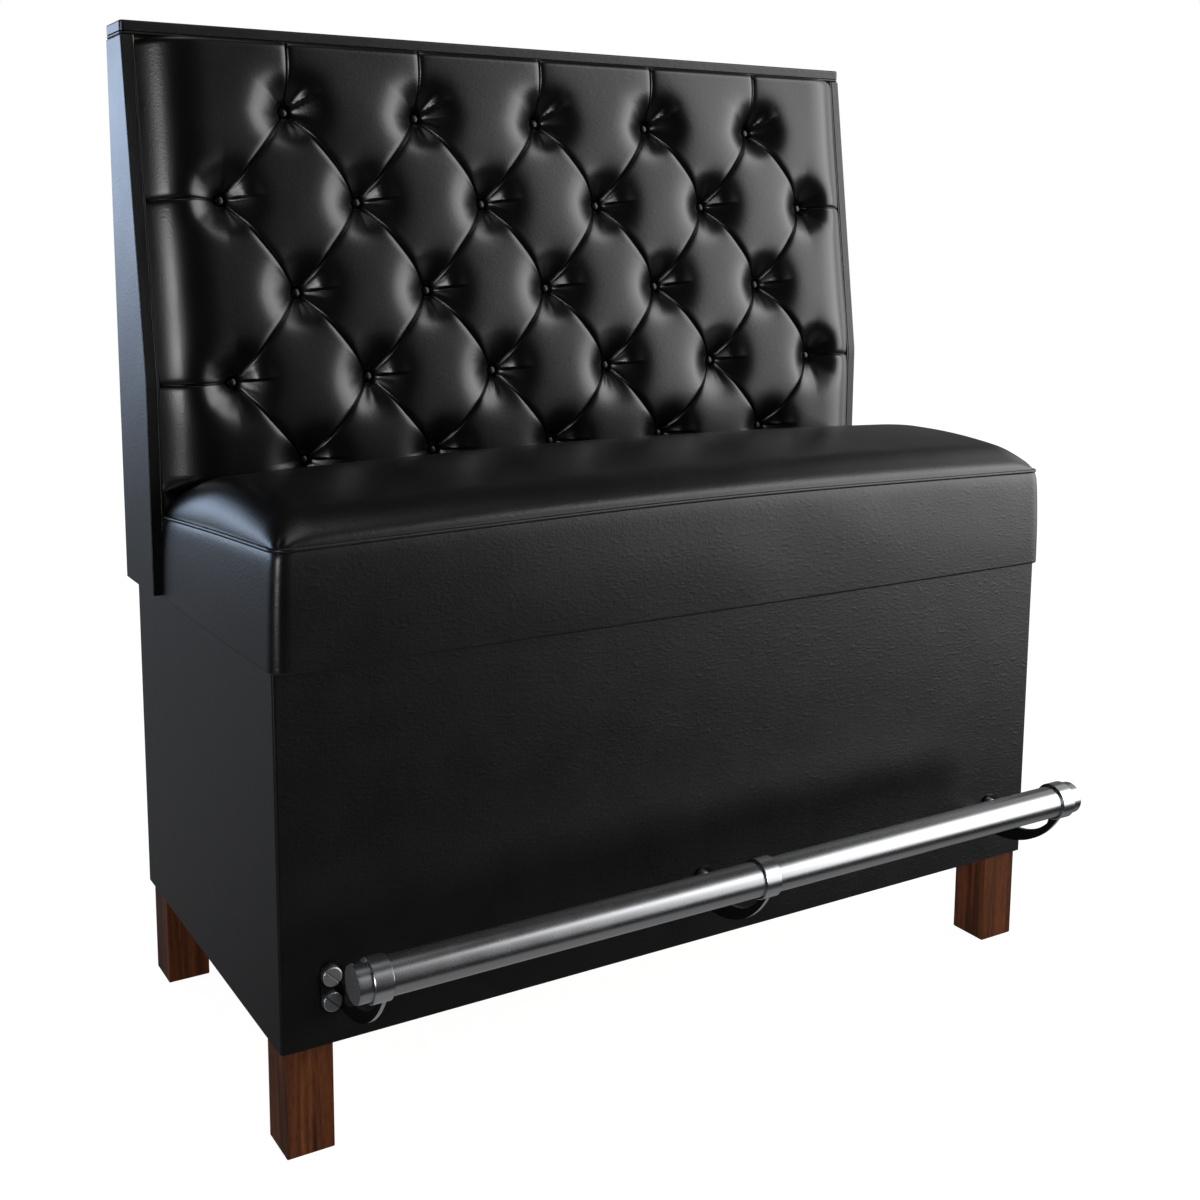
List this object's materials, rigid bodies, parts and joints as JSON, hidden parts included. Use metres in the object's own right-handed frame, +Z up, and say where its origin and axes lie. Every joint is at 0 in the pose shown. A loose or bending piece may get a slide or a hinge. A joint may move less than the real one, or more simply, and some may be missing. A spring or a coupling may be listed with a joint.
{
  "type": "restaurant booth",
  "caption": "Upholstered restaurant booth bench with a crowned welted seat, a deep-buttoned back, a box base on square wooden legs and a tubular foot rail.",
  "frame": {"origin": "on the floor, below the centre of the whole booth's bounding box", "axes": "+Z up; the front, with the foot rail, faces -Y; +X runs along the bench to a sitter's left"},
  "size_m": [1.238, 0.7238, 1.371],
  "materials": {
    "seat_vinyl": "black upholstery vinyl, fine grain, satin",
    "tufted_vinyl": "black upholstery vinyl, smoother and glossier",
    "piping_vinyl": "black vinyl over cord, satin",
    "walnut_leg": "walnut stain, satin lacquer, upright grain",
    "frame_wood": "raw plywood and softwood",
    "rail_steel": "satin stainless steel",
    "bracket_steel": "satin stainless steel",
    "bolt_steel": "satin steel, slotted",
    "zinc_hardware": "zinc-plated steel",
    "tie_twine": "waxed twine with plastic toggles"
  },
  "bodies": {
    "root": {"back_bottom_rail": "frame_wood", "back_left_post": "frame_wood", "back_lower_board": "frame_wood", "back_mid_rail": "frame_wood", "back_mounting_bolts": "zinc_hardware", "back_mounting_nuts": "zinc_hardware", "back_rear_panel": "seat_vinyl", "back_right_post": "frame_wood", "back_studs": "frame_wood", "back_top_rail": "frame_wood", "back_upper_board": "frame_wood", "base_bottom_deck": "frame_wood", "base_front_panel": "frame_wood", "base_left_panel": "frame_wood", "base_rear_panel": "frame_wood", "base_ribs": "frame_wood", "base_right_panel": "frame_wood", "base_top_deck": "frame_wood", "base_vinyl_cover": "seat_vinyl", "cap_screws": "zinc_hardware", "foot_rail_bolts": "bolt_steel", "foot_rail_centre_bracket": "bracket_steel", "foot_rail_left_bracket": "bracket_steel", "foot_rail_left_cap": "rail_steel", "foot_rail_nuts": "zinc_hardware", "foot_rail_right_bracket": "bracket_steel", "foot_rail_right_cap": "rail_steel", "foot_rail_set_screws": "bolt_steel", "foot_rail_tube": "rail_steel", "left_wing": "seat_vinyl", "left_wing_piping": "piping_vinyl", "leg_bolt_washers": "zinc_hardware", "leg_bolts": "zinc_hardware", "leg_corner_blocks": "frame_wood", "leg_front_left": "walnut_leg", "leg_front_right": "walnut_leg", "leg_inserts": "zinc_hardware", "leg_rear_left": "walnut_leg", "leg_rear_right": "walnut_leg", "right_wing": "seat_vinyl", "right_wing_piping": "piping_vinyl", "seat_cushion": "seat_vinyl", "seat_deck": "frame_wood", "seat_frame_crosspieces": "frame_wood", "seat_frame_front_rail": "frame_wood", "seat_frame_left_rail": "frame_wood", "seat_frame_rear_rail": "frame_wood", "seat_frame_right_rail": "frame_wood", "seat_piping": "piping_vinyl", "seat_screws": "zinc_hardware", "top_cap": "seat_vinyl", "top_cap_piping": "piping_vinyl", "tuft_button_ties": "tie_twine", "tuft_buttons_row_1": "tufted_vinyl", "tuft_buttons_row_2": "tufted_vinyl", "tuft_buttons_row_3": "tufted_vinyl", "tuft_buttons_row_4": "tufted_vinyl", "tuft_buttons_row_5": "tufted_vinyl", "tufted_back_cushion": "tufted_vinyl", "wing_screws": "zinc_hardware"}
  },
  "joints": []
}
